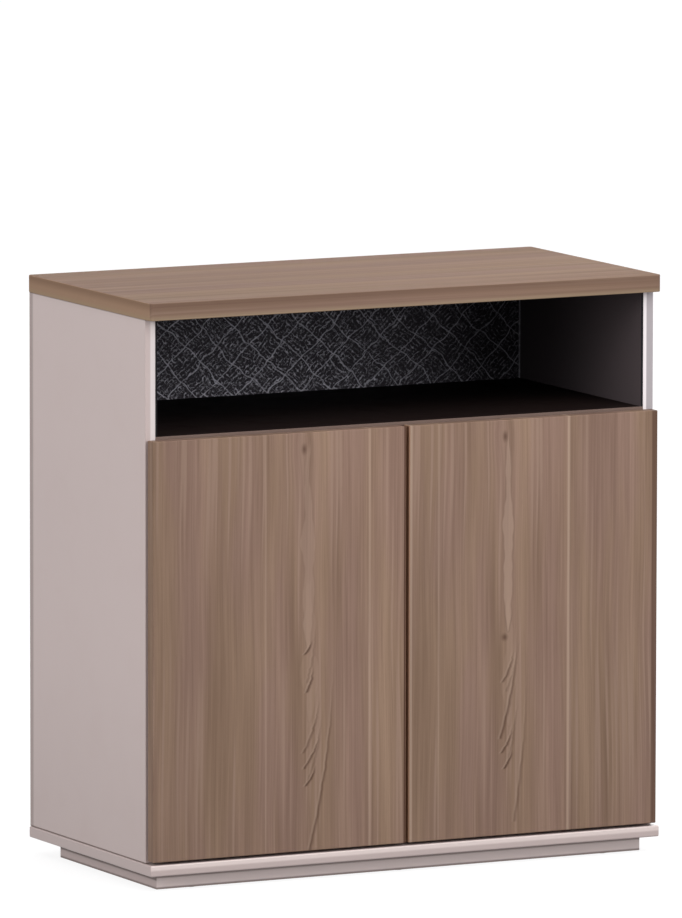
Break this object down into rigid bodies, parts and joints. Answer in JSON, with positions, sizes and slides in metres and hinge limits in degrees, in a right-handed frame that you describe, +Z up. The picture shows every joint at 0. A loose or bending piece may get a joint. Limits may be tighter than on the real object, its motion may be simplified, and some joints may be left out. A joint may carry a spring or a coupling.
{
  "type": "office credenza",
  "caption": "Low office credenza with an open lined niche under a wood-grain worktop, a cupboard behind handleless doors on concealed hinges, and a recessed plinth.",
  "frame": {"origin": "on the floor, under the centre of the overall box", "axes": "+Z up, -Y towards the doors, +X to the right as seen from the front"},
  "size_m": [0.82, 0.404, 0.843],
  "materials": {
    "worktop_laminate": "walnut-grain laminate, matt, with matching edges",
    "door_laminate": "walnut-grain laminate, matt, grain upright",
    "carcass_laminate": "light warm-grey laminate, satin",
    "plinth_laminate": "light warm-grey laminate, satin",
    "niche_laminate": "dark grey laminate, matt",
    "niche_floor_laminate": "dark brown laminate, matt",
    "lattice_panel": "dark board printed with a pale line lattice",
    "back_board": "thin board, light grey, matt",
    "shelf_laminate": "light warm-grey laminate, satin",
    "raw_softwood": "sawn softwood, untreated",
    "dowel_wood": "birch, untreated",
    "hinge_steel": "nickel-plated sheet steel",
    "screw_steel": "zinc-plated steel",
    "latch_plastic": "grey moulded plastic",
    "magnet": "nickel-plated magnet",
    "bumper": "soft translucent pads",
    "glide_plastic": "off-white moulded plastic"
  },
  "bodies": {
    "carcass": {"worktop": "worktop_laminate", "side_panel_left": "carcass_laminate", "side_panel_right": "carcass_laminate", "base_plate": "carcass_laminate", "plinth_front": "plinth_laminate", "plinth_back": "plinth_laminate", "plinth_left": "plinth_laminate", "plinth_right": "plinth_laminate", "niche_liner_left": "niche_laminate", "niche_liner_right": "niche_laminate", "niche_ceiling": "niche_laminate", "niche_floor": "niche_floor_laminate", "niche_floor_edging": "niche_floor_laminate", "niche_back_panel": "lattice_panel", "cupboard_back_panel": "back_board", "adjustable_shelf": "shelf_laminate", "plinth_corner_blocks": "raw_softwood", "dowels": "dowel_wood", "hinge_plates": "hinge_steel", "hinge_arms": "hinge_steel", "hinge_arm_pins": "hinge_steel", "hinge_plate_screws": "screw_steel", "hinge_arm_screws": "screw_steel", "back_panel_screws": "screw_steel", "plinth_block_screws": "screw_steel", "latch_screws": "screw_steel", "cam_bolts": "screw_steel", "cam_locks": "screw_steel", "shelf_supports": "screw_steel", "latch_housings": "latch_plastic", "glides": "glide_plastic"},
    "left_front_links": {"front_links_left": "hinge_steel"},
    "left_rear_links": {"rear_links_left": "hinge_steel"},
    "left_door": {"door_left": "door_laminate", "hinge_cups_left": "hinge_steel", "hinge_cup_pins_left": "hinge_steel", "hinge_cup_screws_left": "screw_steel", "door_bumpers_left": "bumper", "strike_plate_left": "screw_steel"},
    "left_plunger": {"latch_plunger_left": "latch_plastic", "latch_magnet_left": "magnet"},
    "right_front_links": {"front_links_right": "hinge_steel"},
    "right_rear_links": {"rear_links_right": "hinge_steel"},
    "right_door": {"door_right": "door_laminate", "hinge_cups_right": "hinge_steel", "hinge_cup_pins_right": "hinge_steel", "hinge_cup_screws_right": "screw_steel", "door_bumpers_right": "bumper", "strike_plate_right": "screw_steel"},
    "right_plunger": {"latch_plunger_right": "latch_plastic", "latch_magnet_right": "magnet"}
  },
  "joints": [
    {"name": "left_front_link_pivot", "type": "hinge", "parent": "carcass", "child": "left_front_links", "pos_m": [-0.38, -0.1705, 0.3445], "axis": [0, 0, 1], "range_deg": [0, 35.44]},
    {"name": "left_door_hinge", "type": "hinge", "parent": "left_front_links", "child": "left_door", "pos_m": [-0.3963, -0.1846, 0.3445], "axis": [0, 0, -1], "range_deg": [0, 130.44]},
    {"name": "left_rear_link_pivot", "type": "hinge", "parent": "carcass", "child": "left_rear_links", "pos_m": [-0.3715, -0.161, 0.3445], "axis": [0, 0, 1], "range_deg": [0, 7.13]},
    {"name": "left_plunger_slide", "type": "slide", "parent": "carcass", "child": "left_plunger", "axis": [0, -1, 0], "range_m": [0, 0.01401]},
    {"name": "right_front_link_pivot", "type": "hinge", "parent": "carcass", "child": "right_front_links", "pos_m": [0.38, -0.1705, 0.3445], "axis": [0, 0, -1], "range_deg": [0, 35.44]},
    {"name": "right_door_hinge", "type": "hinge", "parent": "right_front_links", "child": "right_door", "pos_m": [0.3963, -0.1846, 0.3445], "axis": [0, 0, 1], "range_deg": [0, 130.44]},
    {"name": "right_rear_link_pivot", "type": "hinge", "parent": "carcass", "child": "right_rear_links", "pos_m": [0.3715, -0.161, 0.3445], "axis": [0, 0, -1], "range_deg": [0, 7.13]},
    {"name": "right_plunger_slide", "type": "slide", "parent": "carcass", "child": "right_plunger", "axis": [0, -1, 0], "range_m": [0, 0.01401]}
  ],
  "couplings": [
    {"joint": "left_front_link_pivot", "follows": "left_door_hinge", "ratio": 0.27167},
    {"joint": "left_rear_link_pivot", "follows": "left_door_hinge", "ratio": 0.054625},
    {"joint": "left_plunger_slide", "follows": "left_door_hinge", "m_per_rad": 0.00615},
    {"joint": "right_front_link_pivot", "follows": "right_door_hinge", "ratio": 0.27167},
    {"joint": "right_rear_link_pivot", "follows": "right_door_hinge", "ratio": 0.054625},
    {"joint": "right_plunger_slide", "follows": "right_door_hinge", "m_per_rad": 0.00615}
  ]
}
